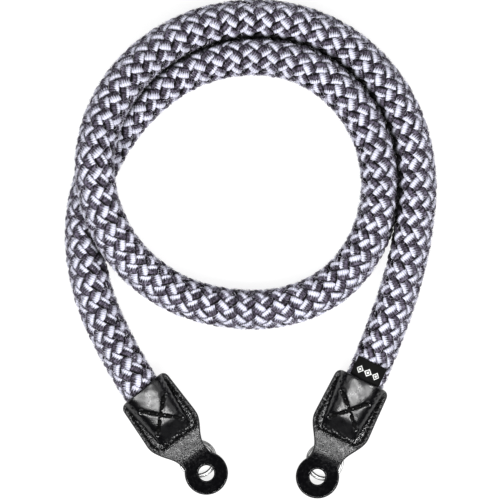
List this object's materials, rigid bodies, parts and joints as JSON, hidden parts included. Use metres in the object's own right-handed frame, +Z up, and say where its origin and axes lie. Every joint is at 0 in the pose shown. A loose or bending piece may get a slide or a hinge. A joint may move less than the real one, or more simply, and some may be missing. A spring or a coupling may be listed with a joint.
{
  "type": "braided camera strap",
  "caption": "Round braided rope neck strap for a camera, coiled on itself, with black leather ends, ring-guard discs and split rings.",
  "frame": {"origin": "middle of the strap's bounding box, on the surface that it lies on", "axes": "+Z up off the surface, +Y from the two leather ends towards the far side of the coil, +X from the left end to the right end seen from above"},
  "size_m": [0.1807, 0.2445, 0.0363],
  "materials": {
    "braid_yarn": "smooth two-tone yarn, cool white beside charcoal",
    "black_leather": "smooth polished black leather with a fine grain",
    "bright_steel": "bright nickel-plated spring steel",
    "black_textile": "black woven ribbon and waxed sewing thread"
  },
  "bodies": {
    "root": {"braided_rope": "braid_yarn", "left_front_leather": "black_leather", "left_back_leather": "black_leather", "left_split_ring": "bright_steel", "right_front_leather": "black_leather", "right_back_leather": "black_leather", "right_split_ring": "bright_steel", "woven_label": "black_textile"}
  },
  "joints": []
}
